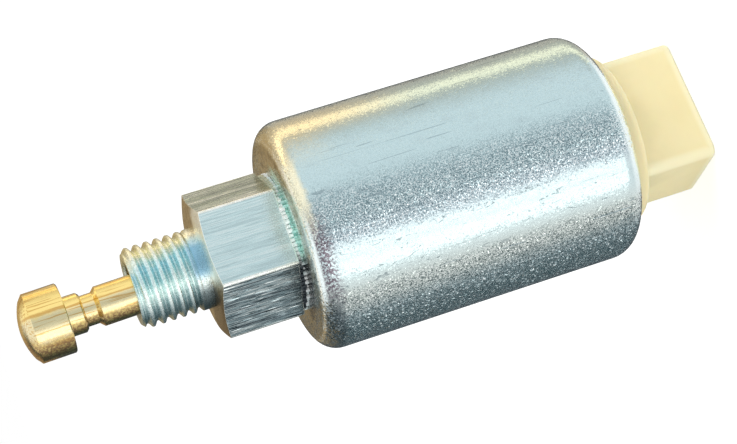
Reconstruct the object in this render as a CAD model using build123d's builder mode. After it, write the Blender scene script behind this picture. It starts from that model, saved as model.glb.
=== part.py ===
from build123d import *
from math import atan, cos, degrees, radians, sin, tan
import os

os.makedirs("parts", exist_ok=True)

# Fuel shutoff solenoid for a small-engine carburettor. All sizes are in millimetres.
# +Z runs along the axis toward the valve pin. The origin is the middle of the hexagon's front face,
# which seats on the carburettor. +X is square to the broad side of the plug shroud.

# Threaded body
thread_diameter = 9.8
nipple_length = 8.7
nipple_end_chamfer = 0.6
pin_bore_diameter = 6.5
bore_mouth_chamfer = 0.3
hex_across_flats = 15.8
hex_length = 9.65
hex_face_diameter = 14.5
hex_chamfer_angle = 15.0
hex_turn = 23.7
neck_diameter = 16.2
neck_length = 0.7
spigot_wall = 1.35
spigot_tail = 1.2
stake_width = 0.7
stake_thickness = 0.85
armature_stop_depth = 2.0

# Can
can_diameter = 28.0
can_length = 40.85
can_front_wall = 1.6
can_side_wall = 1.8
can_rear_wall = 1.3
can_front_radius = 2.8
can_rear_radius = 3.0
can_front_inner_radius = 0.7
can_lip_width = 3.2
can_rear_inner_radius = 1.2
lip_clearance = 0.3

# Plunger
armature_diameter = 9.4
armature_length = 24.5
armature_edge_chamfer = 0.3
stroke = 3.5
residual_gap = 0.1
stem_diameter = 4.8
stem_end_z = 12.8
groove_diameter = 3.75
groove_length = 1.4
hub_end_chamfer = 0.3
head_back_z = 16.8
head_diameter = 8.4
head_length = 4.1
head_back_chamfer = 0.15
nose_chamfer_width = 0.75
nose_chamfer_length = 0.6
nose_dome_height = 0.8
cross_pin_diameter = 1.6
cross_pin_play = 0.12
pin_tail_length = 1.6
tail_clearance = 0.3
hang_gap = 0.12
web_thickness = 1.0

# Return spring
spring_wire_diameter = 0.45
spring_outer_diameter = 5.3
spring_turns = 6
spring_pocket_clearance = 0.3
armature_pocket_depth = 4.0
core_pocket_depth = 4.0

# Guide tube, fixed core and flux plate
armature_clearance = 0.08
tube_wall = 0.35
tube_overlap = 6.0
fit_clearance = 0.02
stack_gap = 0.05
shim_thickness = 0.25
rivet_diameter = 7.0
rivet_head_diameter = 9.2
rivet_head_thickness = 0.8
plate_thickness = 2.2

# Bobbin and winding
bobbin_flange_clearance = 0.2
bobbin_bore_clearance = 0.1
bobbin_barrel_wall = 0.95
bobbin_front_web = 1.3
bobbin_rear_flange = 2.6
winding_inset = 1.32
tape_thickness = 0.3
washer_height = 0.85
washer_thickness = 0.4
washer_clearance = 0.7
o_ring_section = 1.3
lead_wire_diameter = 0.7
lead_bend_radius = 0.8
lead_notch_width = 1.5
lead_channel_depth = 1.6

# End cap with its plug shroud
cap_flange_thickness = 3.6
cap_flange_clearance = 0.1
cap_front_land = 0.7
cap_groove_width = 1.5
cap_neck_exposed = 1.9
cap_neck_fillet = 0.9
shroud_width = 15.5
shroud_depth = 12.5
shroud_length = 9.1
shroud_corner = 1.3
shroud_wall = 1.35
shroud_rim_fillet = 0.4
cap_floor_thickness = 1.1

# Blade terminals
blade_width = 6.3
blade_thickness = 0.8
blade_pitch = 6.6
blade_tip_recess = 1.2
blade_tip_chamfer = 1.0
blade_hole_diameter = 1.8
blade_hole_setback = 3.2
tang_width = 2.0
tang_inset = 4.5
tang_slot_clearance = 0.5
jog_depth = 1.5

# Radii that follow from the sizes above
thread_radius = thread_diameter / 2
armature_radius = armature_diameter / 2
tube_inner_radius = armature_radius + armature_clearance
tube_outer_radius = tube_inner_radius + tube_wall
hex_corner_radius = hex_across_flats / 2 / cos(radians(30))
hex_chamfer_depth = (hex_corner_radius - hex_face_diameter / 2) * tan(radians(hex_chamfer_angle))
can_radius = can_diameter / 2
can_bore_radius = can_radius - can_side_wall
can_rear_bore_radius = can_radius - can_rear_wall
can_lip_radius = can_radius - can_lip_width
cap_neck_radius = can_lip_radius - lip_clearance
spigot_radius = tube_outer_radius + fit_clearance + spigot_wall
stake_radius = spigot_radius + stake_width
bobbin_flange_radius = can_bore_radius - bobbin_flange_clearance
tang_offset = bobbin_flange_radius - tang_inset
stem_radius = stem_diameter / 2
spring_pocket_radius = spring_outer_diameter / 2 + spring_pocket_clearance

# Stations along the axis, from the hexagon's face to the rear
can_front_z = -(hex_length + neck_length)
can_floor_z = can_front_z - can_front_wall
spigot_end_z = can_floor_z - spigot_tail
can_rear_z = can_front_z - can_length
cap_flange_rear_z = can_rear_z + can_rear_wall + fit_clearance
cap_flange_front_z = cap_flange_rear_z + cap_flange_thickness
cap_neck_rear_z = can_rear_z - cap_neck_exposed
shroud_rim_z = cap_neck_rear_z - shroud_length
plate_rear_z = cap_flange_front_z + stack_gap
plate_front_z = plate_rear_z + plate_thickness
bore_floor_z = -armature_stop_depth
armature_front_z = bore_floor_z - stack_gap
armature_rear_z = armature_front_z - armature_length
shim_front_z = armature_rear_z - stroke - residual_gap
core_front_z = shim_front_z - shim_thickness
tube_rear_z = core_front_z - tube_overlap
bobbin_front_z = can_floor_z - washer_height - stack_gap
bobbin_rear_z = plate_front_z + stack_gap
seal_seat_z = spigot_end_z - o_ring_section - 2 * stack_gap
winding_front_z = seal_seat_z - bobbin_front_web
winding_rear_z = bobbin_rear_z + bobbin_rear_flange
armature_pocket_z = armature_rear_z + armature_pocket_depth
core_pocket_z = core_front_z - core_pocket_depth

# The valve pin hangs loosely on its cross pin. It leans until its stem is just clear of the nipple's
# bore with the plunger drawn in.
pin_pivot_z = armature_pocket_z + web_thickness + tail_clearance + pin_tail_length
lean_run = nipple_length + stroke - pin_pivot_z
lean_offset = pin_bore_diameter / 2 - stem_radius - hang_gap
pin_lean = degrees(atan(lean_offset / lean_run))
stem_bore_radius = stem_radius + (armature_front_z - pin_pivot_z) * lean_offset / lean_run + hang_gap


def write(part, label):
    part.label = label
    export_step(part, f"parts/{label}.step")


# Nipple, hexagon, neck and staked spigot, turned from one hexagon bar
with BuildPart() as threaded_body:
    with BuildSketch(Plane.XY.offset(-hex_length)):
        RegularPolygon(hex_across_flats / 2, 6, major_radius=False, rotation=hex_turn)
    extrude(amount=hex_length)
    with BuildSketch(Plane.XZ):
        Polygon(
            (0, -hex_length),
            (hex_corner_radius, -hex_length),
            (hex_corner_radius, -hex_chamfer_depth),
            (hex_face_diameter / 2, 0),
            (0, 0),
            align=None,
        )
    revolve(axis=Axis.Z, mode=Mode.INTERSECT)
    with BuildSketch(Plane.XZ):
        Polygon(
            (0, nipple_length),
            (thread_radius - nipple_end_chamfer, nipple_length),
            (thread_radius, nipple_length - nipple_end_chamfer),
            (thread_radius, -hex_length),
            (neck_diameter / 2, -hex_length),
            (neck_diameter / 2, can_front_z),
            (spigot_radius, can_front_z),
            (spigot_radius, can_floor_z),
            (stake_radius, can_floor_z),
            (stake_radius, can_floor_z - stake_thickness),
            (spigot_radius, can_floor_z - stake_thickness),
            (spigot_radius, spigot_end_z),
            (0, spigot_end_z),
            align=None,
        )
    revolve(axis=Axis.Z)
    # Bore for the valve pin, opening out behind the stop for the guide tube
    with BuildSketch(Plane.XZ):
        Polygon(
            (0, nipple_length),
            (pin_bore_diameter / 2 + bore_mouth_chamfer, nipple_length),
            (pin_bore_diameter / 2, nipple_length - bore_mouth_chamfer),
            (pin_bore_diameter / 2, bore_floor_z),
            (tube_outer_radius + fit_clearance, bore_floor_z),
            (tube_outer_radius + fit_clearance, spigot_end_z),
            (0, spigot_end_z),
            align=None,
        )
    revolve(axis=Axis.Z, mode=Mode.SUBTRACT)
write(threaded_body.part, "threaded_body")

# Drawn can with a rounded shoulder, and a rear edge rolled in over the end cap
with BuildPart() as can:
    with BuildSketch(Plane.XZ) as can_section:
        Polygon(
            (spigot_radius + fit_clearance, can_front_z),
            (can_radius, can_front_z),
            (can_radius, can_rear_z),
            (can_lip_radius, can_rear_z),
            (can_lip_radius, can_rear_z + can_rear_wall),
            (can_rear_bore_radius, can_rear_z + can_rear_wall),
            (can_rear_bore_radius, plate_front_z + fit_clearance),
            (can_bore_radius, plate_front_z + fit_clearance),
            (can_bore_radius, can_floor_z),
            (spigot_radius + fit_clearance, can_floor_z),
            align=None,
        )
        front_shoulder = can_section.vertices().group_by(Axis.X)[-1].sort_by(Axis.Y)[-1]
        fillet(front_shoulder, can_front_radius)
        rear_shoulder = can_section.vertices().group_by(Axis.X)[-1].sort_by(Axis.Y)[0]
        fillet(rear_shoulder, can_rear_radius)
        rear_corner = can_section.vertices().filter_by_position(
            Axis.X, can_rear_bore_radius - stack_gap, can_rear_bore_radius + stack_gap
        ).sort_by(Axis.Y)[0]
        fillet(rear_corner, can_rear_inner_radius)
        front_corner = can_section.vertices().filter_by_position(
            Axis.X, can_bore_radius - stack_gap, can_bore_radius + stack_gap
        ).sort_by(Axis.Y)[-1]
        fillet(front_corner, can_front_inner_radius)
    revolve(axis=Axis.Z)
write(can.part, "can")

# Thin tube, pressed into the threaded body at one end and over the fixed core at the other
with BuildPart() as guide_tube:
    with BuildSketch(Plane.XY.offset(tube_rear_z)):
        Circle(tube_outer_radius)
        Circle(tube_inner_radius, mode=Mode.SUBTRACT)
    extrude(amount=bore_floor_z - tube_rear_z)
write(guide_tube.part, "guide_tube")

# Armature, bored from the front for the valve pin and from the rear for the return spring
with BuildPart() as armature:
    with BuildSketch(Plane.XY.offset(armature_rear_z)):
        Circle(armature_radius)
    extrude(amount=armature_length)
    chamfer(armature.edges().filter_by(GeomType.CIRCLE), armature_edge_chamfer)
    with BuildSketch(Plane.XY.offset(armature_front_z)):
        Circle(stem_bore_radius)
    extrude(amount=armature_pocket_z + web_thickness - armature_front_z, mode=Mode.SUBTRACT)
    with BuildSketch(Plane.XY.offset(armature_rear_z)):
        Circle(spring_pocket_radius)
    extrude(amount=armature_pocket_depth, mode=Mode.SUBTRACT)
    with BuildSketch(Plane.YZ):
        with Locations((0, pin_pivot_z)):
            Circle(cross_pin_diameter / 2 + fit_clearance)
    extrude(amount=armature_radius, both=True, mode=Mode.SUBTRACT)
write(armature.part, "armature")

# Dowel across the armature that carries the valve pin
cross_pin_half_length = armature_radius * cos(cross_pin_diameter / armature_diameter)
with BuildPart() as stem_cross_pin:
    with BuildSketch(Plane.YZ):
        with Locations((0, pin_pivot_z)):
            Circle(cross_pin_diameter / 2)
    extrude(amount=cross_pin_half_length - fit_clearance, both=True)
write(stem_cross_pin.part, "stem_cross_pin")

# Brass valve pin, turned about its own leaning axis, with heights measured from the cross pin
pin_axis = Axis((0, 0, pin_pivot_z), (0, -sin(radians(pin_lean)), cos(radians(pin_lean))))
pin_section = Plane(
    origin=(0, 0, pin_pivot_z),
    x_dir=(1, 0, 0),
    z_dir=(0, -cos(radians(pin_lean)), -sin(radians(pin_lean))),
)
stem_end = stem_end_z - pin_pivot_z
groove_start = stem_end + (stem_diameter - groove_diameter) / 2
groove_end = groove_start + groove_length
head_back = head_back_z - pin_pivot_z
head_front = head_back + head_length
head_radius = head_diameter / 2
nose_start = head_front + nose_chamfer_length
with BuildPart() as valve_pin:
    with BuildSketch(pin_section):
        with BuildLine():
            Polyline(
                (0, nose_start + nose_dome_height),
                (0, -pin_tail_length),
                (stem_radius, -pin_tail_length),
                (stem_radius, stem_end),
                (groove_diameter / 2, groove_start),
                (groove_diameter / 2, groove_end),
                (stem_radius - hub_end_chamfer, groove_end),
                (stem_radius, groove_end + hub_end_chamfer),
                (stem_radius, head_back),
                (head_radius - head_back_chamfer, head_back),
                (head_radius, head_back + head_back_chamfer),
                (head_radius, head_front),
                (head_radius - nose_chamfer_width, nose_start),
            )
            TangentArc(
                (0, nose_start + nose_dome_height),
                (head_radius - nose_chamfer_width, nose_start),
                tangent=(1, 0),
            )
        make_face()
    revolve(axis=pin_axis)
    with BuildSketch(Plane.YZ):
        with Locations((0, pin_pivot_z)):
            Circle(cross_pin_diameter / 2 + cross_pin_play)
    extrude(amount=stem_diameter, both=True, mode=Mode.SUBTRACT)
write(valve_pin.part, "valve_pin")

# Return spring between the armature's web and the core's pocket floor
spring_room = armature_pocket_z - core_pocket_z
spring_height = spring_room - spring_wire_diameter - 2 * stack_gap
spring_radius = (spring_outer_diameter - spring_wire_diameter) / 2
spring_start_z = core_pocket_z + spring_wire_diameter / 2 + stack_gap
with BuildPart() as return_spring:
    with BuildLine() as spring_path:
        Helix(
            pitch=spring_height / spring_turns,
            height=spring_height,
            radius=spring_radius,
            center=(0, 0, spring_start_z),
        )
    with BuildSketch(Plane(origin=spring_path.line @ 0, z_dir=spring_path.line % 0)):
        Circle(spring_wire_diameter / 2)
    sweep(is_frenet=True)
write(return_spring.part, "return_spring")

# Fixed core, riveted through the flux plate
with BuildPart() as fixed_core:
    with BuildSketch(Plane.XZ):
        Polygon(
            (spring_pocket_radius, core_front_z),
            (tube_inner_radius - fit_clearance, core_front_z),
            (tube_inner_radius - fit_clearance, tube_rear_z - fit_clearance),
            (tube_outer_radius, tube_rear_z - fit_clearance),
            (tube_outer_radius, plate_front_z),
            (rivet_diameter / 2, plate_front_z),
            (rivet_diameter / 2, plate_rear_z),
            (rivet_head_diameter / 2, plate_rear_z),
            (rivet_diameter / 2, plate_rear_z - rivet_head_thickness),
            (0, plate_rear_z - rivet_head_thickness),
            (0, core_pocket_z),
            (spring_pocket_radius, core_pocket_z),
            align=None,
        )
    revolve(axis=Axis.Z)
write(fixed_core.part, "fixed_core")

# Thin ring that keeps the armature from sticking to the core
with BuildPart() as anti_stick_shim:
    with BuildSketch(Plane.XY.offset(core_front_z)):
        Circle(armature_radius)
        Circle(spring_pocket_radius, mode=Mode.SUBTRACT)
    extrude(amount=shim_thickness)
write(anti_stick_shim.part, "anti_stick_shim")

# Flux plate with slots for the terminals' tangs
tang_slot_width = tang_width + 2 * tang_slot_clearance
tang_slot_height = blade_thickness + 2 * tang_slot_clearance
with BuildPart() as flux_plate:
    with BuildSketch(Plane.XY.offset(plate_rear_z)):
        Circle(can_rear_bore_radius - stack_gap)
        Circle(rivet_diameter / 2 + fit_clearance, mode=Mode.SUBTRACT)
        with Locations((0, tang_offset), (0, -tang_offset)):
            RectangleRounded(tang_slot_width, tang_slot_height, tang_slot_clearance, mode=Mode.SUBTRACT)
    extrude(amount=plate_thickness)
write(flux_plate.part, "flux_plate")

# Bobbin, with a seal seat in its front flange and lead channels in its rear flange
bobbin_bore_radius = tube_outer_radius + bobbin_bore_clearance
barrel_radius = bobbin_bore_radius + bobbin_barrel_wall
winding_radius = can_bore_radius - winding_inset
winding_length = winding_front_z - winding_rear_z - 2 * stack_gap
lead_radius = winding_radius - lead_wire_diameter
with BuildPart() as bobbin:
    with BuildSketch(Plane.XZ):
        Polygon(
            (stake_radius + lip_clearance, bobbin_front_z),
            (bobbin_flange_radius, bobbin_front_z),
            (bobbin_flange_radius, winding_front_z),
            (barrel_radius, winding_front_z),
            (barrel_radius, winding_rear_z),
            (bobbin_flange_radius, winding_rear_z),
            (bobbin_flange_radius, bobbin_rear_z),
            (bobbin_bore_radius, bobbin_rear_z),
            (bobbin_bore_radius, seal_seat_z),
            (stake_radius + lip_clearance, seal_seat_z),
            align=None,
        )
    revolve(axis=Axis.Z)
    for side in (1, -1):
        with BuildSketch(Plane.XY.offset(bobbin_rear_z)):
            with Locations((0, side * (bobbin_bore_radius + bobbin_flange_radius) / 2)):
                Rectangle(tang_slot_width, bobbin_flange_radius - bobbin_bore_radius + fit_clearance)
        extrude(amount=lead_channel_depth, mode=Mode.SUBTRACT)
        with BuildSketch(Plane.XY.offset(bobbin_rear_z)):
            with Locations((0, side * lead_radius)):
                Circle(lead_notch_width / 2)
        extrude(amount=bobbin_rear_flange, mode=Mode.SUBTRACT)
write(bobbin.part, "bobbin")

# Copper winding and the tape round it
with BuildPart() as coil_winding:
    with BuildSketch(Plane.XY.offset(winding_rear_z + stack_gap)):
        Circle(winding_radius)
        Circle(barrel_radius + stack_gap, mode=Mode.SUBTRACT)
    extrude(amount=winding_length)
write(coil_winding.part, "coil_winding")

with BuildPart() as winding_tape:
    with BuildSketch(Plane.XY.offset(winding_rear_z + stack_gap)):
        Circle(winding_radius + stack_gap + tape_thickness)
        Circle(winding_radius + stack_gap, mode=Mode.SUBTRACT)
    extrude(amount=winding_length)
write(winding_tape.part, "winding_tape")

# Conical washer that presses the bobbin to the rear
washer_inner_radius = stake_radius + washer_clearance
washer_outer_radius = can_bore_radius - washer_clearance
washer_drop = washer_height - washer_thickness
with BuildPart() as spring_washer:
    with BuildSketch(Plane.XZ):
        Polygon(
            (washer_inner_radius, can_floor_z),
            (washer_outer_radius, can_floor_z - washer_drop),
            (washer_outer_radius, can_floor_z - washer_height),
            (washer_inner_radius, can_floor_z - washer_thickness),
            align=None,
        )
    revolve(axis=Axis.Z)
write(spring_washer.part, "spring_washer")

# Seals
with BuildPart() as front_o_ring:
    with BuildSketch(Plane.XZ):
        with Locations((tube_outer_radius + fit_clearance + o_ring_section / 2, (spigot_end_z + seal_seat_z) / 2)):
            Circle(o_ring_section / 2)
    revolve(axis=Axis.Z)
write(front_o_ring.part, "front_o_ring")

cap_groove_radius = can_rear_bore_radius - o_ring_section - 2 * stack_gap
cap_groove_z = cap_flange_front_z - cap_front_land
with BuildPart() as rear_o_ring:
    with BuildSketch(Plane.XZ):
        with Locations((cap_groove_radius + stack_gap + o_ring_section / 2, cap_groove_z - cap_groove_width / 2)):
            Circle(o_ring_section / 2)
    revolve(axis=Axis.Z)
write(rear_o_ring.part, "rear_o_ring")

# Blade terminals. Each blade jogs outward inside the end cap and ends in a tang at the coil.
cavity_floor_z = cap_neck_rear_z - cap_floor_thickness
blade_tip_z = shroud_rim_z + blade_tip_recess
jog_z = cavity_floor_z + jog_depth
tang_end_z = bobbin_rear_z + lead_channel_depth - stack_gap
terminals = []
for label, side in (("terminal_positive", 1), ("terminal_negative", -1)):
    with BuildPart() as terminal:
        with BuildSketch(Plane.XZ.offset(-side * blade_pitch / 2)):
            Polygon(
                (-blade_width / 2, jog_z),
                (-blade_width / 2, blade_tip_z + blade_tip_chamfer),
                (-blade_width / 2 + blade_tip_chamfer, blade_tip_z),
                (blade_width / 2 - blade_tip_chamfer, blade_tip_z),
                (blade_width / 2, blade_tip_z + blade_tip_chamfer),
                (blade_width / 2, jog_z),
                align=None,
            )
            with Locations((0, blade_tip_z + blade_hole_setback)):
                Circle(blade_hole_diameter / 2, mode=Mode.SUBTRACT)
        extrude(amount=blade_thickness / 2, both=True)
        with Locations((0, side * (blade_pitch / 2 + tang_offset) / 2, jog_z)):
            Box(tang_width, tang_offset - blade_pitch / 2 + blade_thickness, blade_thickness)
        with BuildSketch(Plane.XY.offset(jog_z)):
            with Locations((0, side * tang_offset)):
                Rectangle(tang_width, blade_thickness)
        extrude(amount=tang_end_z - jog_z)
    terminals.append(terminal.part)
    write(terminal.part, label)

# Leads from the winding, through the flange notches, to the tangs
lead_level_z = tang_end_z - lead_wire_diameter
for label, side in (("coil_lead_start", 1), ("coil_lead_end", -1)):
    with BuildPart() as lead:
        with BuildLine() as lead_path:
            FilletPolyline(
                (0, side * lead_radius, winding_rear_z),
                (0, side * lead_radius, lead_level_z),
                (0, side * (tang_offset + blade_thickness / 2), lead_level_z),
                radius=lead_bend_radius,
            )
        with BuildSketch(Plane(origin=lead_path.line @ 0, z_dir=lead_path.line % 0)):
            Circle(lead_wire_diameter / 2)
        sweep()
    write(lead.part, label)

# End cap: a sealed flange inside the can, a round neck through the lip and the plug shroud
cap_flange_radius = can_rear_bore_radius - cap_flange_clearance
rivet_recess_radius = rivet_head_diameter / 2 + lip_clearance
rivet_recess_z = plate_rear_z - rivet_head_thickness - lip_clearance
with BuildPart() as connector_housing:
    with BuildSketch(Plane.XZ) as cap_section:
        Polygon(
            (rivet_recess_radius, cap_flange_front_z),
            (cap_flange_radius, cap_flange_front_z),
            (cap_flange_radius, cap_groove_z),
            (cap_groove_radius, cap_groove_z),
            (cap_groove_radius, cap_groove_z - cap_groove_width),
            (cap_flange_radius, cap_groove_z - cap_groove_width),
            (cap_flange_radius, cap_flange_rear_z),
            (cap_neck_radius, cap_flange_rear_z),
            (cap_neck_radius, cap_neck_rear_z),
            (0, cap_neck_rear_z),
            (0, rivet_recess_z),
            (rivet_recess_radius, rivet_recess_z),
            align=None,
        )
        flange_corner = cap_section.vertices().group_by(Axis.X)[-1].sort_by(Axis.Y)[0]
        fillet(flange_corner, can_rear_inner_radius)
        neck_corner = cap_section.vertices().group_by(Axis.Y)[0].sort_by(Axis.X)[-1]
        fillet(neck_corner, cap_neck_fillet)
    revolve(axis=Axis.Z)
    with BuildSketch(Plane.XY.offset(cap_neck_rear_z)):
        RectangleRounded(shroud_depth, shroud_width, shroud_corner)
    extrude(amount=-shroud_length)
    fillet(connector_housing.edges().group_by(Axis.Z)[0], shroud_rim_fillet)
    with BuildSketch(Plane.XY.offset(shroud_rim_z)):
        RectangleRounded(
            shroud_depth - 2 * shroud_wall,
            shroud_width - 2 * shroud_wall,
            shroud_corner - shroud_rim_fillet,
        )
    extrude(amount=cavity_floor_z - shroud_rim_z, mode=Mode.SUBTRACT)
    add(terminals, mode=Mode.SUBTRACT)
write(connector_housing.part, "connector_housing")
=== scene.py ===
import math

import bmesh
import bpy
from mathutils import Matrix, Vector


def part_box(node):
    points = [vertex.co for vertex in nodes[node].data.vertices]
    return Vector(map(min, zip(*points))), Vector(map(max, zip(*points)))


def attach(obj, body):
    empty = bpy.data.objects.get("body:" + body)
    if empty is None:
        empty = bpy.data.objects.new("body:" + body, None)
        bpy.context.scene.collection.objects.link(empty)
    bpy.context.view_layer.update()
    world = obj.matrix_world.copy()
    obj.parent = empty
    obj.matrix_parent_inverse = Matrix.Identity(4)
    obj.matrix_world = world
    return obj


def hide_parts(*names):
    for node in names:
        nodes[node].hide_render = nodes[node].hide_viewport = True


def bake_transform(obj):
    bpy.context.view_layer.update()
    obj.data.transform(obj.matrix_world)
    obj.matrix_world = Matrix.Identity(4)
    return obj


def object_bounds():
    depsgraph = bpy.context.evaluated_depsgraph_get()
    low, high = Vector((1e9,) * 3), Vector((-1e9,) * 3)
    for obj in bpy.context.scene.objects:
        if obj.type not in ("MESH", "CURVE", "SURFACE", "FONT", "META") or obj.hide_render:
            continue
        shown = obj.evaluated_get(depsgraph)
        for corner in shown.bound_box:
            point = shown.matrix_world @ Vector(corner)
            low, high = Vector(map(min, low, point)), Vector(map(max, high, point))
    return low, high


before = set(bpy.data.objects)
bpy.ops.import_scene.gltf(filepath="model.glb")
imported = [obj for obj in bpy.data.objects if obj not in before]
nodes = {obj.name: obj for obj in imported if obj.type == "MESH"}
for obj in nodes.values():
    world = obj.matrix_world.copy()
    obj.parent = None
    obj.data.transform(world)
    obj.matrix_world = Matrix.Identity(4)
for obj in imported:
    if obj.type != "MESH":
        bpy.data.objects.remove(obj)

mm = 0.001
cadLow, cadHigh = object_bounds()
solenoidBody = "solenoid_body"
plungerBody = "plunger"


# A socket that can be used in plain arithmetic
class Wire:
    def __init__(self, graph, socket):
        self.graph = graph
        self.socket = socket

    def __add__(self, other):
        return self.graph.maths("ADD", self, other)

    def __radd__(self, other):
        return self.graph.maths("ADD", other, self)

    def __sub__(self, other):
        return self.graph.maths("SUBTRACT", self, other)

    def __rsub__(self, other):
        return self.graph.maths("SUBTRACT", other, self)

    def __mul__(self, other):
        return self.graph.maths("MULTIPLY", self, other)

    def __rmul__(self, other):
        return self.graph.maths("MULTIPLY", other, self)

    def __truediv__(self, other):
        return self.graph.maths("DIVIDE", self, other)

    def __pow__(self, other):
        return self.graph.maths("POWER", self, other)

    def __mod__(self, other):
        return self.graph.maths("FLOORED_MODULO", self, other)

    def __abs__(self):
        return self.graph.maths("ABSOLUTE", self)


# A node tree. Its sizes, depths and coordinates are in millimetres, its angles in degrees from +X.
class Graph:
    def __init__(self, tree):
        self.tree = tree
        self.tree.nodes.clear()

    # Adds a node: its settings first, then the values or wires of its inputs, by name or by number
    def node(self, kind, settings=None, inputs=None):
        made = self.tree.nodes.new(kind)
        for key, value in (settings or {}).items():
            if key == "stops":
                self.setStops(made.color_ramp, value)
            else:
                setattr(made, key, value)
        for key, value in (inputs or {}).items():
            socket = made.inputs[key]
            if isinstance(value, Wire):
                self.tree.links.new(value.socket, socket)
            elif socket.type == "RGBA" and len(value) == 3:
                socket.default_value = (*value, 1)
            else:
                socket.default_value = value
        return made

    def wire(self, made, output=0):
        return Wire(self, made.outputs[output])

    def maths(self, operation, *values):
        return self.wire(self.node("ShaderNodeMath", {"operation": operation}, dict(enumerate(values))))

    def vectors(self, operation, first, second, output=0):
        made = self.node("ShaderNodeVectorMath", {"operation": operation}, {0: first, 1: second})
        return self.wire(made, output)

    def setStops(self, ramp, stops):
        while len(ramp.elements) < len(stops):
            ramp.elements.new(1)
        for element, (place, colour) in zip(ramp.elements, stops):
            element.position = place
            element.color = (*colour, 1)

    def ramp(self, factor, stops):
        return self.wire(self.node("ShaderNodeValToRGB", {"stops": stops}, {"Fac": factor}))

    # A value that rises smoothly from 0 at low to 1 at high
    def rise(self, value, low, high):
        settings = {"interpolation_type": "SMOOTHSTEP"}
        return self.wire(self.node("ShaderNodeMapRange", settings, {"Value": value, 1: low, 2: high}))

    def fall(self, value, low, high):
        return 1 - self.rise(value, low, high)

    def blend(self, mask, first, second, how="MIX"):
        settings = {"data_type": "RGBA", "blend_type": how}
        return self.wire(self.node("ShaderNodeMix", settings, {0: mask, 6: first, 7: second}), 2)

    # Lays a finish's colours one over another, each through a mask of its own
    def coats(self, tint, finish, layers):
        for mask, colour in layers:
            tint = self.blend(mask, tint, finish[colour])
        return tint

    def parts(self, vector):
        made = self.node("ShaderNodeSeparateXYZ", None, {0: vector})
        return [self.wire(made, axis) for axis in range(3)]

    # The shaded point as a vector, followed by its three coordinates
    def place(self):
        point = self.wire(self.node("ShaderNodeTexCoord"), "Object")
        return [point, *[part / mm for part in self.parts(point)]]

    def radius(self, x, y):
        return (x * x + y * y) ** 0.5

    # Small crystals, each a flat facet with a tilt of its own, as a true height
    def facets(self, vector, size, slope, share):
        inputs = {"Vector": vector, "Scale": 1 / (size * mm), "Randomness": 1.0}
        cells = self.node("ShaderNodeTexVoronoi", None, inputs)
        colour, centre = self.wire(cells, "Color"), self.wire(cells, "Position")
        lean = self.vectors("SUBTRACT", colour, (0.5, 0.5, 0.5))
        away = self.vectors("SUBTRACT", vector, centre)
        height = self.vectors("DOT_PRODUCT", lean, away, "Value")
        picked = self.rise(self.parts(colour)[0] * 7.31 % 1.0, 1 - share, 1.02 - share)
        return height * picked * (2 * slope / mm)

    def angle(self, x, y):
        return self.maths("ARCTAN2", y, x) * (180 / math.pi)

    # Signed angle round the part's axis, from the given angle
    def turnFrom(self, x, y, centre):
        return (self.angle(x, y) - (centre - 180)) % 360.0 - 180

    # 1 within half of the value's zero, falling softly to 0
    def patch(self, value, half, soft):
        return self.fall(abs(value), half - soft, half + soft)

    # 1 on one side of the part: side gives its middle, its half width and how soft its edges are
    def side(self, x, y, side, drift=None):
        middle, half, soft = side
        turn = self.turnFrom(x, y, middle)
        return self.patch(turn if drift is None else turn + drift, half, soft)

    def noise(self, vector, size, detail=2.0, rough=0.5):
        inputs = {"Vector": vector, "Scale": 1 / (size * mm), "Detail": detail, "Roughness": rough}
        return self.wire(self.node("ShaderNodeTexNoise", None, inputs))

    def stretched(self, vector, scale, turn=(0, 0, 0)):
        inputs = {"Vector": vector, "Scale": scale, "Rotation": turn}
        return self.wire(self.node("ShaderNodeMapping", None, inputs))

    def bump(self, height, depth, under=None):
        inputs = {"Height": height, "Distance": depth * mm, "Strength": 1.0}
        if under is not None:
            inputs["Normal"] = under
        return self.wire(self.node("ShaderNodeBump", None, inputs))

    def output(self, kind, made):
        out = self.node(kind)
        self.tree.links.new(made.outputs[0], out.inputs[0])

    def finish(self, inputs):
        self.output("ShaderNodeOutputMaterial", self.node("ShaderNodeBsdfPrincipled", None, inputs))


def material(name):
    made = bpy.data.materials.new(name)
    made.use_nodes = True
    return made, Graph(made.node_tree)


def paint(thing, surface):
    thing.data.materials.clear()
    thing.data.materials.append(surface)


def addObject(name, data):
    thing = bpy.data.objects.new(name, data)
    bpy.context.scene.collection.objects.link(thing)
    return thing


# Degrees above which two faces meet in a sharp edge or are bevelled, and below which they are one flat face
limits = {"turned": 32, "grown": 40, "softened": 35, "bevelled": 28, "flat": 0.5}
weldDistance = 0.001            # mm


def shadeSmooth(mesh, limit):
    mesh.polygons.foreach_set("use_smooth", [True] * len(mesh.polygons))
    mesh.set_sharp_from_angle(angle=math.radians(limit))


def meshObject(name, built):
    mesh = bpy.data.meshes.new(name)
    built.to_mesh(mesh)
    built.free()
    return addObject(name, mesh)


def turnedObject(name, built):
    thing = meshObject(name, built)
    shadeSmooth(thing.data, limits["turned"])
    return thing


def direction(azimuth, elevation):
    a, e = math.radians(azimuth), math.radians(elevation)
    return Vector((math.cos(a) * math.cos(e), math.sin(a) * math.cos(e), math.sin(e)))


# Camera

cameraView = {
    "azimuth": -18.42,          # degrees from +X, about the part's axis
    "elevation": 12.56,
    "roll": -107.54,            # the axis lies across the picture, nose at the lower left
    "target": (3.55, -2.02, -19.75),
    "distance": 236.0,
    "lens": 98.39,
    "sensor": 36,
    "clip": (0.01, 20),         # metres
}


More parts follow.
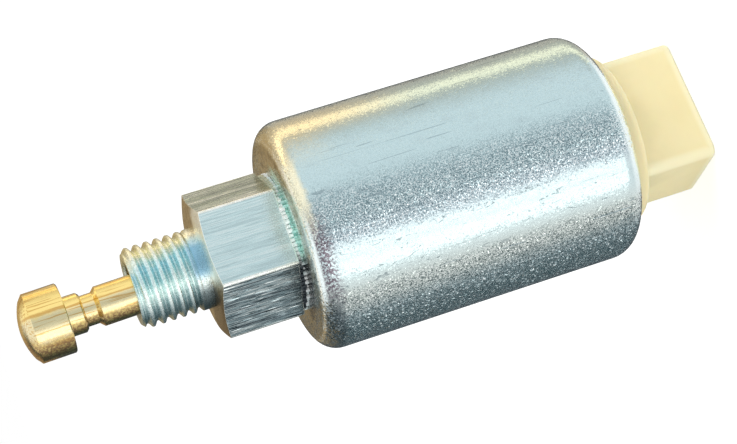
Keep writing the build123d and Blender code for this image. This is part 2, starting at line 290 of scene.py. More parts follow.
def makeCamera(view):
    roll = math.radians(view["roll"])
    back = direction(view["azimuth"], view["elevation"])
    level = direction(view["azimuth"] + 90, 0)
    right = level * math.cos(roll) + back.cross(level) * math.sin(roll)
    data = bpy.data.cameras.new("camera")
    data.lens = view["lens"]
    data.sensor_width = view["sensor"]
    data.clip_start, data.clip_end = view["clip"]
    camera = addObject("camera", data)
    turned = Matrix((right, back.cross(right), back)).transposed().to_4x4()
    camera.matrix_world = Matrix.Translation((Vector(view["target"]) + back * view["distance"]) * mm) @ turned
    bpy.context.scene.camera = camera


# Light, floor and the cards that the bright metal shows. Sizes here are in metres.

studio = {
    "skyStrength": 0.75,
    "floorColour": (0.93, 0.93, 0.93),
    "floorRadius": 3.0,
    "floorLift": 0.32,
    "cardRadius": 0.5,
    "cardSpacing": 0.01,
    "cardHeight": 0.5,
    "cardColumns": 48,
    "lampSize": 0.5,
    "lampDistance": 0.9,
}
lamps = {
    "keyLamp": {"azimuth": 60, "elevation": 40, "power": 3.0, "colour": (1, 0.98, 0.94)},
    "fillLamp": {"azimuth": -60, "elevation": 25, "power": 1.8, "colour": (0.95, 0.98, 1)},
}

# Each card stands round the part from one angle to another, in degrees from the camera's side.
# Its edges fade over the given number of degrees into the white round it.
cards = {
    "underCard": {"from": -190, "to": -55, "fade": (20, 70), "colour": (0.085, 0.125, 0.135)},
    "keyCard": {"from": -52, "to": -34, "fade": (3, 2), "colour": (1.9, 1.9, 1.85)},
    "secondKeyCard": {"from": -32, "to": -13, "fade": (2, 16), "colour": (1.9, 1.9, 1.85)},
    "viewerCard": {"from": -18, "to": 46, "fade": (18, 30), "colour": (0.64, 0.68, 0.70)},
    "warmCard": {"from": 72, "to": 170, "fade": (45, 12), "colour": (0.62, 0.55, 0.46)},
    "edgeCard": {
        "from": 153, "to": 214, "fade": (10, 14), "colour": (0.08, 0.09, 0.10), "low": -0.5, "high": 0.0,
    },
    "stripCard": {"from": 107, "to": 131, "fade": (8, 8), "colour": (1.7, 1.42, 1.02)},
    "backCard": {
        "from": 135, "to": 225, "fade": (20, 20), "colour": (0.46, 0.35, 0.20), "low": 0.0, "high": 0.30,
    },
}


def cardMaterial(name, card, start, width):
    surface, graph = material(name)
    x, y = graph.place()[1:3]
    turned = (graph.angle(x, y) - start) % 360.0
    mask = graph.rise(turned, 0.0, card["fade"][0]) * graph.fall(turned, width - card["fade"][1], width)
    glow = graph.node("ShaderNodeEmission", None, {"Color": card["colour"], "Strength": 1.0})
    clear = graph.node("ShaderNodeBsdfTransparent")
    inputs = {0: mask, 1: graph.wire(clear), 2: graph.wire(glow)}
    graph.output("ShaderNodeOutputMaterial", graph.node("ShaderNodeMixShader", None, inputs))
    return surface


def makeCard(name, card, order):
    start = cameraView["azimuth"] + card["from"]
    width = card["to"] - card["from"]
    radius = studio["cardRadius"] - studio["cardSpacing"] * order
    heights = (card.get("low", -studio["cardHeight"]), card.get("high", studio["cardHeight"]))
    built = bmesh.new()
    columns = []
    for step in range(studio["cardColumns"] + 1):
        around = direction(start + width * step / studio["cardColumns"], 0) * radius
        columns.append([built.verts.new((around.x, around.y, z)) for z in heights])
    for a, b in zip(columns, columns[1:]):
        built.faces.new((a[0], b[0], b[1], a[1]))
    thing = meshObject(name, built)
    paint(thing, cardMaterial(name, card, start, width))
    for ray in ("camera", "diffuse", "transmission", "volume_scatter", "shadow"):
        setattr(thing, "visible_" + ray, False)


def makeWorld():
    world = bpy.data.worlds.new("studio")
    world.use_nodes = True
    bpy.context.scene.world = world
    graph = Graph(world.node_tree)
    path = graph.node("ShaderNodeLightPath")
    seen = graph.maths("MAXIMUM", graph.wire(path, "Is Camera Ray"), graph.wire(path, "Is Glossy Ray"))
    seen = graph.maths("MAXIMUM", seen, graph.wire(path, "Is Transmission Ray"))
    strength = seen * (1 - studio["skyStrength"]) + studio["skyStrength"]
    sky = graph.node("ShaderNodeBackground", None, {"Color": (1, 1, 1), "Strength": strength})
    graph.output("ShaderNodeOutputWorld", sky)


def makeFloor():
    built = bmesh.new()
    bmesh.ops.create_circle(built, cap_ends=True, segments=64, radius=studio["floorRadius"])
    floor = meshObject("floor", built)
    floor.location.z = cadLow.z
    surface, graph = material("floorPaint")
    seen = graph.wire(graph.node("ShaderNodeLightPath"), "Is Camera Ray")
    graph.finish({"Base Color": studio["floorColour"], "Roughness": 0.9, "Specular IOR Level": 0.1,
                  "Emission Color": (1, 1, 1), "Emission Strength": seen * studio["floorLift"]})
    paint(floor, surface)
    floor.visible_glossy = False    # the metal shows the same white from the world


def makeLamp(name, lamp):
    data = bpy.data.lights.new(name, "AREA")
    data.shape = "SQUARE"
    data.size = studio["lampSize"]
    data.energy = lamp["power"]
    data.color = lamp["colour"]
    thing = addObject(name, data)
    away = direction(cameraView["azimuth"] + lamp["azimuth"], lamp["elevation"])
    thing.location = away * studio["lampDistance"]
    thing.rotation_mode = "QUATERNION"
    thing.rotation_quaternion = away.to_track_quat("Z", "Y")
    thing.visible_glossy = False    # the cards stand for the lamps in the metal


makeCamera(cameraView)
makeWorld()
makeFloor()
for order, (name, card) in enumerate(cards.items()):
    makeCard(name, card, order)
for name, lamp in lamps.items():
    makeLamp(name, lamp)
print("camera, light and floor made")


# Finished metal of the nipple, hexagon and collar, in place of the plain solid.
# Every length is in millimetres, and every row of the mesh runs once round the axis.

body = {
    "acrossFlats": 15.8,
    "hexTurn": 23.7,            # degrees from +X to a corner
    "hexLength": 9.65,
    "hexFaceRadius": 7.25,
    "hexFaceAngle": 15.0,
    "cornerRadius": 0.36,
    "edgeBreak": 0.12,
    "nippleLength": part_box("threaded_body")[1][2] / mm,
    "nippleEndRadius": 4.3,
    "threadReach": 5.0,         # every face inside it belongs to the nipple
    "boreRadius": 3.25,
    "boreMouth": 0.3,
    "stopZ": -2.0,
    "tubeRadius": 5.15,
    "collarRadius": 7.95,
    "spigotRadius": 6.5,
    "canFrontZ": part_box("can")[1][2] / mm,
    "canFrontWall": 1.6,
    "stakeRadius": 7.2,
    "stakeLength": 0.85,
    "spigotEndZ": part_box("threaded_body")[0][2] / mm,
    "columns": 240,
}
thread = {
    "pitch": 1.25,
    "crestRadius": 4.88,
    "depth": 0.56,
    "rootFlat": 0.03,           # half the width of the groove's floor
    "flank": 0.50,              # width of one sloping side
    "roundness": 0.85,
    "runOutFrom": 0.85,         # height above the hexagon at which the groove starts
    "runOutLength": 0.9,
    "turnPhase": 0.77,
    "rowsPerTurn": 16,
}


def hexRadius(angle, shape):
    inner = shape["acrossFlats"] / 2
    half = math.radians(30)
    fromCorner = (angle - math.radians(shape["hexTurn"]) + half) % (2 * half) - half
    reach = (inner - shape["cornerRadius"]) / math.cos(half)
    side = reach * math.sin(fromCorner)
    flat = inner / math.cos(half - abs(fromCorner))
    if abs(side) >= shape["cornerRadius"]:
        return flat
    return min(flat, reach * math.cos(fromCorner) + math.sqrt(shape["cornerRadius"] ** 2 - side ** 2))


def cornerHalfAngle(shape):
    return math.degrees(shape["cornerRadius"] * math.tan(math.radians(30)) / (shape["acrossFlats"] / 2))


# Even columns, with closer ones round each corner in place of the even ones near it
def columnAngles(shape):
    near = cornerHalfAngle(shape)
    angles = [360 * column / shape["columns"] for column in range(shape["columns"])]
    corners = [shape["hexTurn"] + 60 * corner for corner in range(6)]
    offsets = [share * near for share in (-1.2, -1, -0.5, 0, 0.5, 1, 1.2)]
    clear = 1.6 * near
    angles = [a for a in angles if min(abs((a - c + 180) % 360 - 180) for c in corners) > clear]
    angles += [(c + offset) % 360 for c in corners for offset in offsets]
    return [math.radians(a) for a in sorted(angles)]


def threadRadius(angle, z, shape, cut):
    turns = (z / cut["pitch"] - angle / (2 * math.pi) + cut["turnPhase"]) % 1
    fromGroove = abs(turns - 0.5) * cut["pitch"]
    share = min(max((fromGroove - cut["rootFlat"]) / cut["flank"], 0), 1)
    eased = 0.5 - 0.5 * math.cos(math.pi * share)
    share += (eased - share) * cut["roundness"]
    fade = min(max((z - cut["runOutFrom"]) / cut["runOutLength"], 0), 1)
    depth = cut["depth"] * fade * fade * (3 - 2 * fade)
    end = shape["nippleEndRadius"] + shape["nippleLength"] - z
    return min(cut["crestRadius"] - depth * (1 - share), end)


def addPoint(built, radius, angle, z):
    return built.verts.new((radius * math.cos(angle) * mm, radius * math.sin(angle) * mm, z * mm))


def makeThreadedBody(shape, cut):
    angles = columnAngles(shape)
    slope = math.tan(math.radians(shape["hexFaceAngle"]))
    edge = shape["edgeBreak"]
    built = bmesh.new()

    def evenRow(radius, z):
        return [(radius, z) for angle in angles]

    def rearRow(inset, z):
        return [(hexRadius(angle, shape) - inset, z) for angle in angles]

    # A row on the hexagon's sloping front, or below it on the flats
    def frontRow(inset, drop):
        radii = [hexRadius(angle, shape) - inset for angle in angles]
        return [(r, -(r - shape["hexFaceRadius"]) * slope - drop) for r in radii]

    def addRow(row):
        return [addPoint(built, r, a, z) for a, (r, z) in zip(angles, row)]

    def bridge(upper, lower):
        for column in range(len(angles)):
            after = (column + 1) % len(angles)
            built.faces.new((upper[column], lower[column], lower[after], upper[after]))

    # The thread's rows climb one pitch in a turn, and are held between the hexagon and the nipple's end
    length = shape["nippleLength"]
    step = cut["pitch"] / cut["rowsPerTurn"]
    count = math.ceil(length / step)
    spiral = []
    for row in range(-cut["rowsPerTurn"] - 1, count + 1):
        heights = [row * step + cut["pitch"] * angle / (2 * math.pi) for angle in angles]
        heights.append(row * step + cut["pitch"])
        heights = [min(max(z, 0), length) for z in heights]
        turned = zip([*angles, 2 * math.pi], heights)
        spiral.append([addPoint(built, threadRadius(a, z, shape, cut), a, z) for a, z in turned])
    for lower, upper in zip(spiral, spiral[1:]):
        for column in range(len(angles)):
            built.faces.new((lower[column], lower[column + 1], upper[column + 1], upper[column]))
    top = addRow([(threadRadius(a, length, shape, cut), length) for a in angles])
    foot = addRow([(threadRadius(a, 0, shape, cut), 0) for a in angles])

    # From the nipple's end back through the bore, round the spigot and over the hexagon to the thread's foot
    front, rear = shape["canFrontZ"], -shape["hexLength"]
    floor = front - shape["canFrontWall"]
    bore, tube = shape["boreRadius"], shape["tubeRadius"]
    spigot, spigotEnd = shape["spigotRadius"], shape["spigotEndZ"]
    stake, stakeEnd = shape["stakeRadius"], floor - shape["stakeLength"]
    mouth = bore + shape["boreMouth"]
    inside = [
        (mouth + edge, length), (mouth, length - edge / 3), (bore, length - shape["boreMouth"]),
        (bore, shape["stopZ"]), (tube, shape["stopZ"]), (tube, spigotEnd), (spigot, spigotEnd),
        (spigot, stakeEnd), (stake, stakeEnd), (stake, floor), (spigot, floor), (spigot, front),
        (shape["collarRadius"], front), (shape["collarRadius"], rear),
    ]
    rows = [evenRow(radius, z) for radius, z in inside] + [
        rearRow(edge * 1.5, rear),
        rearRow(edge * 0.4, rear + edge * 0.4),
        rearRow(0, rear + edge * 1.5),
        frontRow(0, edge * 1.2),
        frontRow(0, edge * 0.3),
        frontRow(edge * 0.3, 0),
        frontRow(edge * 1.2, 0),
        evenRow(shape["hexFaceRadius"] + edge, -edge * slope),
        evenRow(shape["hexFaceRadius"] - edge, 0),
    ]
    before = top
    for row in rows:
        after = addRow(row)
        bridge(after, before)
        before = after
    bridge(foot, before)
    bmesh.ops.remove_doubles(built, verts=built.verts, dist=weldDistance / 2 * mm)
    bmesh.ops.recalc_face_normals(built, faces=built.faces)
    return turnedObject("threaded_body_dressed", built)


threadedBody = makeThreadedBody(body, thread)
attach(threadedBody, solenoidBody)
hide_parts("threaded_body")
print("thread, hexagon and collar made:", len(threadedBody.data.polygons), "faces")


bodyFinishes = ["nipple", "turnedFace", "flat", "collar", "edge"]


# Each face of the nipple piece takes the finish of the form that it belongs to
def dressThreadedBody(thing, shape, surfaces):
    for finish in bodyFinishes:
        thing.data.materials.append(surfaces[finish])
    corner = cornerHalfAngle(shape)
    for face in thing.data.polygons:
        centre = face.center / mm
        fromCorner = (math.degrees(math.atan2(centre.y, centre.x)) - shape["hexTurn"] + 30) % 60 - 30
        if math.hypot(centre.x, centre.y) <= shape["threadReach"]:
            finish = "nipple"
        elif centre.z < -shape["hexLength"] - 0.01:
            finish = "collar"
        elif face.normal.z > 0.9:
            finish = "turnedFace"
        elif abs(fromCorner) < corner or abs(face.normal.z) > 0.1:
            finish = "edge"
        else:
            finish = "flat"
        face.material_index = bodyFinishes.index(finish)


# The can, turned again as a smooth shell with the drawn sheet's rounded edges

canShell = {
    "sideWall": 1.8,
    "rearWall": 1.3,
    "frontRadius": 2.8,
    "rearRadius": 3.0,
    "frontInnerRadius": 0.7,
    "rearInnerRadius": 1.2,
    "lipWidth": 3.2,
    "mouthRadius": 6.52,
    "ledgeZ": -44.01,
    "lipEdge": 0.15,
    "arcSteps": 10,
    "columns": 288,
}


# Points along a closed outline of (radius, height, rounding) corners, each corner an arc
def roundedOutline(corners, steps):
    points = []
    for index, (r, z, rounding) in enumerate(corners):
        here = Vector((r, z))
        before = (Vector(corners[index - 1][:2]) - here).normalized()
        after = (Vector(corners[(index + 1) % len(corners)][:2]) - here).normalized()
        if not rounding:
            points.append(here)
            continue
        half = before.angle(after) / 2
        centre = here + (before + after).normalized() * (rounding / math.sin(half))
        start = here + before * (rounding / math.tan(half)) - centre
        end = here + after * (rounding / math.tan(half)) - centre
        sweep = start.angle_signed(end)
        for step in range(steps + 1):
            turned = start.copy()
            turned.rotate(Matrix.Rotation(-sweep * step / steps, 2))
            points.append(centre + turned)
    return points


def turnedShell(name, outline, columns):
    built = bmesh.new()
    rings = []
    for column in range(columns):
        angle = 2 * math.pi * column / columns
        rings.append([addPoint(built, r, angle, z) for r, z in outline])
    for column in range(columns):
        here, there = rings[column], rings[(column + 1) % columns]
        for row in range(len(outline)):
            after = (row + 1) % len(outline)
            built.faces.new((here[row], there[row], there[after], here[after]))
    bmesh.ops.recalc_face_normals(built, faces=built.faces)
    return turnedObject(name, built)


def makeCan(shell, shape):
    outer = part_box("can")[1][0] / mm
    front = shape["canFrontZ"]
    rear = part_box("can")[0][2] / mm
    bore = outer - shell["sideWall"]
    rearBore = outer - shell["rearWall"]
    lip = outer - shell["lipWidth"]
    floor = front - shape["canFrontWall"]
    corners = [
        (shell["mouthRadius"], front, 0),
        (outer, front, shell["frontRadius"]),
        (outer, rear, shell["rearRadius"]),
        (lip, rear, shell["lipEdge"]),
        (lip, rear + shell["rearWall"], 0),
        (rearBore, rear + shell["rearWall"], shell["rearInnerRadius"]),
        (rearBore, shell["ledgeZ"], 0),
        (bore, shell["ledgeZ"], 0),
        (bore, floor, shell["frontInnerRadius"]),
        (shell["mouthRadius"], floor, 0),
    ]
    return turnedShell("can_dressed", roundedOutline(corners, shell["arcSteps"]), shell["columns"])


canDressed = makeCan(canShell, body)
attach(canDressed, solenoidBody)
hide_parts("can")
print("can made:", len(canDressed.data.polygons), "faces")


# Serrations pressed into the collar behind the hexagon, and the studs behind them, by Geometry Nodes

serration = {
    "count": 92,
    "collarRadius": 7.90,
    "height": 0.40,
    "width": 0.62,
    "length": 0.50,
    "centreZ": -9.80,
    "jitter": 0.26,
    "seed": 4,
}
studs = {
    "count": 80,
    "collarRadius": 7.93,
    "height": 0.42,
    "width": 0.38,
    "length": 0.34,
    "centreZ": -10.16,
    "jitter": 0.30,
    "seed": 9,
}


def makeSerrations(name, shape, surface):
    sizes = {"Count": shape["count"], "Radius": shape["collarRadius"] * mm, "Height": shape["height"] * mm,
             "Width": shape["width"] * mm, "Length": shape["length"] * mm, "Centre Z": shape["centreZ"] * mm,
             "Jitter": shape["jitter"], "Seed": shape["seed"]}
    tree = bpy.data.node_groups.new(name, "GeometryNodeTree")
    tree.interface.new_socket("Geometry", in_out="INPUT", socket_type="NodeSocketGeometry")
    values = {}
    for label, value in sizes.items():
        kind = "NodeSocketInt" if isinstance(value, int) else "NodeSocketFloat"
        values[tree.interface.new_socket(label, in_out="INPUT", socket_type=kind).identifier] = value
    tree.interface.new_socket("Geometry", in_out="OUTPUT", socket_type="NodeSocketGeometry")
    graph = Graph(tree)

    def add(kind, inputs=None, settings=None, output=0):
        return graph.wire(graph.node(kind, settings, inputs), output)

    group = graph.node("NodeGroupInput")
    given = {label: graph.wire(group, label) for label in sizes}
    ring = add("GeometryNodeMeshCircle", {"Vertices": given["Count"], "Radius": given["Radius"]})
    points = add("GeometryNodeMeshToPoints", {"Mesh": ring})
    outward = {"axis": "X", "pivot_axis": "Z"}
    facing = add("FunctionNodeAlignEulerToVector", {"Vector": add("GeometryNodeInputPosition")}, outward)
    tooth = add("GeometryNodeMeshCylinder", {"Vertices": 8, "Radius": 0.5, "Depth": 1.0}, None, "Mesh")
    size = {"X": given["Height"] * 2.0, "Y": given["Width"], "Z": given["Length"]}
    sized = add("GeometryNodeTransform", {"Geometry": tooth, "Scale": add("ShaderNodeCombineXYZ", size)})
    spread = {2: 1.0 - given["Jitter"], 3: 1.0 + given["Jitter"], "Seed": given["Seed"]}
    vary = add("FunctionNodeRandomValue", spread, {"data_type": "FLOAT"}, 1)
    each = {"Points": points, "Instance": sized, "Rotation": facing, "Scale": vary}
    real = add("GeometryNodeRealizeInstances", {0: add("GeometryNodeInstanceOnPoints", each)})
    lift = add("ShaderNodeCombineXYZ", {"Z": given["Centre Z"]})
    raised = add("GeometryNodeTransform", {"Geometry": real, "Translation": lift})
    coat = add("GeometryNodeSetMaterial", {"Geometry": raised, "Material": surface})
    graph.node("NodeGroupOutput", None, {0: coat})
    return growMesh(name, tree, values)


# Runs a Geometry Nodes tree once and keeps its result as a plain mesh
def growMesh(name, tree, values):
    holder = addObject(name + "_holder", bpy.data.meshes.new(name + "_holder"))
    modifier = holder.modifiers.new("grow", "NODES")
    modifier.node_group = tree
    for identifier, value in values.items():
        modifier[identifier] = value
    mesh = finishedMesh(holder)
    mesh.name = name
    bpy.data.objects.remove(holder)
    shadeSmooth(mesh, limits["grown"])
    return addObject(name, mesh)


def finishedMesh(thing):
    bpy.context.view_layer.update()
    return bpy.data.meshes.new_from_object(thing.evaluated_get(bpy.context.evaluated_depsgraph_get()))


# A copy of a solid with its sharp edges broken, in its place
edgeBreaks = {
    "valve_pin": {"width": 0.07, "segments": 2, "body": plungerBody, "slot": "pin_brass"},
    "connector_housing": {"width": 0.12, "segments": 3, "body": solenoidBody, "slot": "cap_nylon"},
}


# A node's mesh is loose triangles, so a copy of it is merged first
def mergedCopy(name):
    built = bmesh.new()
    built.from_mesh(nodes[name].data)
    bmesh.ops.remove_doubles(built, verts=built.verts, dist=weldDistance * mm)
    return built


def softenedCopy(name, how):
    built = mergedCopy(name)
    flat = math.radians(limits["flat"])
    bmesh.ops.dissolve_limit(built, angle_limit=flat, verts=built.verts, edges=built.edges)
    thing = turnedObject(name + "_dressed", built)
    bevel = thing.modifiers.new("broken edges", "BEVEL")
    bevel.width = how["width"] * mm
    bevel.segments = how["segments"]
    bevel.limit_method = "ANGLE"
    bevel.angle_limit = math.radians(limits["bevelled"])
    bevel.harden_normals = False
    mesh = finishedMesh(thing)
    thing.modifiers.clear()
    thing.data = mesh
    shadeSmooth(mesh, limits["softened"])
    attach(thing, how["body"])
    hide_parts(name)
    return thing


# The return spring as a smooth copy of its solid, with its place baked in: its rear end stays in the fixed
# core
def makeSpring(name):
    thing = turnedObject(name + "_dressed", mergedCopy(name))
    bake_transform(thing)
    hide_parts(name)
    return thing


returnSpring = makeSpring("return_spring")
softened = {name: softenedCopy(name, how) for name, how in edgeBreaks.items()}
print("edges broken on", ", ".join(softened))


# Materials. Each side is its middle in degrees from +X, its half width and the softness of its edges.

zincPlate = {
    "colour": (0.54, 0.71, 0.745),
    "speckColour": (0.40, 0.50, 0.54),
    "darkSpeck": (0.09, 0.14, 0.17),
    "brightSpeck": (0.97, 1.00, 1.00),
    # gold is partly passivation tint and partly a painted reflection; glint is a painted highlight; the
    # strip, cream, lilac, vein and teal colours are painted reflections; the white, pale and rim colours are
    # painted highlights; shade and black are painted shade
    "goldColour": (0.84, 0.78, 0.55),
    "paintedGlintColour": (1.00, 0.96, 0.72),
    "brownColour": (0.33, 0.29, 0.18),
    "creamReflectionColour": (0.78, 0.78, 0.66),
    "stripReflectionColour": (0.80, 0.74, 0.52),
    "lilacReflectionColour": (0.70, 0.68, 0.84),
    "reflectedVeinColour": (0.22, 0.28, 0.30),
    "paintedHighlightColour": (0.68, 0.78, 0.79),
    "plumColour": (0.17, 0.14, 0.17),
    "oliveColour": (0.46, 0.42, 0.28),
    "shadeColour": (0.16, 0.20, 0.22),
    "tealReflectionColour": (0.74, 0.97, 0.90),
    "blackShadeColour": (0.04, 0.05, 0.06),
    "paleHighlightColour": (0.90, 1.00, 1.00),
    "rimHighlightColour": (0.95, 0.92, 0.78),
    "scratchColour": (0.30, 0.40, 0.44),
    "coarseSide": (-56.0, 52.0, 10.0),      # the coarsest grain
    "paintedHighlightSide": (-39.5, 11.5, 4.0),        # the painted highlight streak, where the grain is finest
    # cream and lilac painted reflections along the edges of the painted highlight streak
    "creamReflectionSide": (-55.0, 9.0, 7.0),
    "lilacReflectionSide": (-26.0, 6.0, 5.0),
    "backSide": (153.0, 99.0, 8.0),
    "sparkSide": (-104.0, 38.0, 10.0),      # the dark side, where steep crystals catch the light
    # the shoulder's gold, partly a painted reflection, its tan mottling, its painted strip reflection and its
    # painted gleam highlight
    "goldSide": (32.0, 48.0, 16.0),
    "tanSide": (38.0, 16.0, 14.0),
    "stripReflectionSide": (45.0, 12.0, 8.0),
    "paintedGleamSide": (18.0, 24.0, 10.0),
    "plumSide": (-36.0, 22.0, 12.0),
    "shadeSide": (-92.0, 36.0, 12.0),
    "outerShadeSide": (-104.0, 46.0, 12.0),
    # a painted teal reflection and painted black shade on the can's face by the collar
    "tealReflectionSide": (2.0, 42.0, 10.0),
    "blackShadeSide": (-69.0, 32.0, 6.0),
    # a painted highlight along the rear edge
    "rearHighlightSide": (18.0, 62.0, 18.0),
    "scratches": (((0.05, 0.03, 0), 0.03, 0.26), ((-0.10, 0.06, 0), 0.04, 0.30)),   # turn, stretch and size
    "collarReach": 10.0,        # mm
    "roughness": 0.14,
    "grainDepth": 0.003,        # mm
    "speckSize": 0.14,          # mm
    "crystalSize": 0.16,        # mm
    "crystalSlope": 0.30,
    "crystalShare": 0.55,
    "sparkSize": 0.19,          # mm
    "sparkSlope": 0.85,
    "sparkShare": 0.30,
}


# Crystalline grain of bright zinc, as a height: flat crystals with steep edges, over fine roughness
def zincGrain(graph, place, size):
    crystals = graph.rise(graph.noise(place, size, 2.0, 0.6), 0.46, 0.56)
    pits = graph.rise(graph.noise(graph.stretched(place, (1, 1, 1.3)), 0.7 * size, 1.0, 0.5), 0.55, 0.66)
    return crystals * 0.6 + pits * 0.4


def makeCanZinc(finish):
    surface, graph = material("zincPlate")
    place, x, y, z = graph.place()
    radius = graph.radius(x, y)
    fromFront = z - body["canFrontZ"]
    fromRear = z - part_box("can")[0][2] / mm

    def side(name, drift=None):
        return graph.side(x, y, finish[name], drift)

    # The grain and its specks, coarse on some sides and fine in the painted highlight streak, with painted
    # cream and lilac reflections along the streak's edges
    grain = zincGrain(graph, place, finish["crystalSize"])
    specks = graph.rise(graph.noise(place, finish["crystalSize"], 3.0, 0.7), 0.52, 0.64)
    clouds = graph.noise(graph.stretched(place, (1, 1, 0.5)), 1.3, 4.0, 0.65)
    dots = graph.noise(place, finish["speckSize"], 1.0, 0.6)
    paintedHighlight = side("paintedHighlightSide", clouds * 8 - 4)
    back = side("backSide", clouds * 30 - 15)
    speckled = graph.maths("MAXIMUM", side("coarseSide") * (1 - paintedHighlight * 0.9), back * 0.75)
    speckled = graph.maths("MAXIMUM", speckled, 0.1)
    tint = graph.coats(finish["colour"], finish, [
        (specks * 0.2, "speckColour"),
        (graph.rise(clouds, 0.48, 0.72) * 0.22, "speckColour"),
        (side("creamReflectionSide") * 0.55, "creamReflectionColour"),
        (side("lilacReflectionSide") * 0.2, "lilacReflectionColour"),
        (graph.rise(dots, 0.52, 0.58) * speckled * 0.75, "darkSpeck"),
        (graph.fall(dots, 0.40, 0.46) * speckled * 0.8, "brightSpeck"),
    ])
    for turn, stretch, size in finish["scratches"]:
        marks = graph.noise(graph.stretched(place, (1, 1, stretch), turn), size, 0.0, 0.4)
        tint = graph.blend(graph.rise(marks, 0.79, 0.81) * 0.7, tint, finish["scratchColour"])

    # Painted reflection veins in the streak. Front shoulder: gold tint, partly passivation and partly a
    # painted reflection, with painted glints and gleam, a painted strip reflection, olive specks, tan
    # mottling, plum blots, painted shade and a painted pale reflection. Face: brown tint, painted shade, a
    # painted teal reflection and painted black shade by the collar, and a painted rim highlight. Rear edge: a
    # painted highlight and a painted shade line
    wander = graph.noise(graph.stretched(place, (1, 1, 0.16)), 2.6, 3.0, 0.55)
    broken = graph.rise(graph.noise(place, 0.5, 2.0, 0.6), 0.47, 0.55)
    # thin dark veins, a painted reflection inside the painted highlight streak
    reflectedVein = graph.fall(abs(wander - 0.5), 0.003, 0.010) * broken
    ragged = graph.noise(place, 0.9, 3.0, 0.65) * 1.6
    shoulder = graph.rise(fromFront + ragged, -1.2, 0.3)
    golden = shoulder * side("goldSide")
    sparks = graph.noise(place, 0.20, 2.0, 0.6)
    flecks = graph.rise(graph.noise(place, 0.34, 3.0, 0.7), 0.48, 0.62)
    tan = graph.rise(fromFront + ragged * 3, -5.5, -1.0) * side("tanSide")
    stripReflection = graph.rise(fromFront + ragged * 4, -17.0, -3.0) * side("stripReflectionSide")
    paintedGleam = graph.patch(fromFront + 1.1, 0.3, 0.3) * side("paintedGleamSide")
    behind = graph.rise(fromFront + ragged, -2.4, -0.9)
    plumSide = side("plumSide")
    blots = graph.rise(graph.noise(place, 0.26, 3.0, 0.7), 0.42, 0.54)
    face = graph.rise(fromFront, -0.25, -0.05)
    patches = graph.rise(graph.noise(place, 1.2, 3.0, 0.6), 0.35, 0.65) * 0.5 + 0.5
    outer = graph.rise(radius, 9.4, 10.8) * side("outerShadeSide")
    reach = finish["collarReach"]
    nearCollar = face * graph.fall(radius + ragged * 0.2, reach, reach + 0.5)
    rearHighlight = graph.fall(fromRear + ragged * 0.15, 1.35, 1.9) * side("rearHighlightSide")
    tint = graph.coats(tint, finish, [
        (paintedHighlight * 0.5, "paintedHighlightColour"),
        (reflectedVein * paintedHighlight * 0.85, "reflectedVeinColour"),
        (golden * 0.85, "goldColour"),
        (golden * graph.rise(sparks, 0.53, 0.58), "paintedGlintColour"),
        (golden * graph.fall(sparks, 0.40, 0.45) * 0.6, "oliveColour"),
        (tan * (flecks * 0.4 + 0.3), "goldColour"),
        (stripReflection * 0.75, "stripReflectionColour"),
        (paintedGleam * 0.85, "paintedGlintColour"),
        (behind * graph.fall(fromFront, -0.8, -0.4) * plumSide * blots, "plumColour"),
        (behind * side("shadeSide") * 0.85, "shadeColour"),
        (graph.rise(fromFront, -0.9, -0.6) * plumSide, "paleHighlightColour"),
        (face * patches, "brownColour"),
        (face * outer * 0.85, "shadeColour"),
        (nearCollar * side("tealReflectionSide") * 0.9, "tealReflectionColour"),
        (nearCollar * side("blackShadeSide") * 0.9, "blackShadeColour"),
        # a painted highlight line round the front rim
        (graph.patch(fromFront + 0.3, 0.10, 0.08) * 0.6, "rimHighlightColour"),
        (rearHighlight * 0.95, "paleHighlightColour"),
        # a painted shade line along the rear lip
        (graph.fall(fromRear, 0.03, 0.12) * 0.85, "shadeColour"),
    ])
    rough = graph.rise(grain, 0.3, 0.7) * 0.07 + (finish["roughness"] - 0.03)
    crystals = graph.facets(place, finish["crystalSize"], finish["crystalSlope"], finish["crystalShare"])
    steep = graph.facets(place, finish["sparkSize"], finish["sparkSlope"], finish["sparkShare"])
    height = crystals * (speckled * 0.85 + shoulder * 0.2 + 0.15) + steep * side("sparkSide")
    normal = graph.bump(height, 1.0, graph.bump(grain, finish["grainDepth"]))
    graph.finish({"Base Color": tint, "Metallic": 1.0, "Roughness": rough, "Normal": normal})
    return surface


# Flats of the hexagon, with the long marks of the drawn bar, painted shade on the lower flat, a painted
# reflection tint on the upper flat and painted light at the middle flat's rear end
barFlats = {
    "colour": (0.68, 0.87, 0.89),
    "lineColour": (0.36, 0.44, 0.46),
    "brightColour": (0.95, 1.00, 0.98),
    "deepColour": (0.07, 0.08, 0.10),
    # the lower flat's painted shade, the upper flat's painted reflection tint and the pale painted light
    "lowFlatShadeColour": (0.38, 0.50, 0.54),
    "oliveColour": (0.46, 0.55, 0.40),
    "paleHighlightColour": (0.56, 0.70, 0.70),
    "lowFlatShadeSide": (-66.3, 30.0, 0.6),          # each of these sides is one flat
    "upperFlatReflectionSide": (53.7, 30.0, 0.6),
    "paleHighlightSide": (-6.3, 30.0, 0.6),
    "roughness": 0.22,
    "lineWidth": 0.09,          # mm
    "lineLength": 4.5,          # mm
    "lineDepth": 0.012,         # mm
    "broadLines": 3.5,          # times the fine ones' width
    "grainSize": 0.16,          # mm
    "grainDepth": 0.003,        # mm
    "fleckSize": 0.12,          # mm
    "fleckStretch": 0.12,
    "fleckSlope": 0.5,
    "fleckShare": 0.3,
}


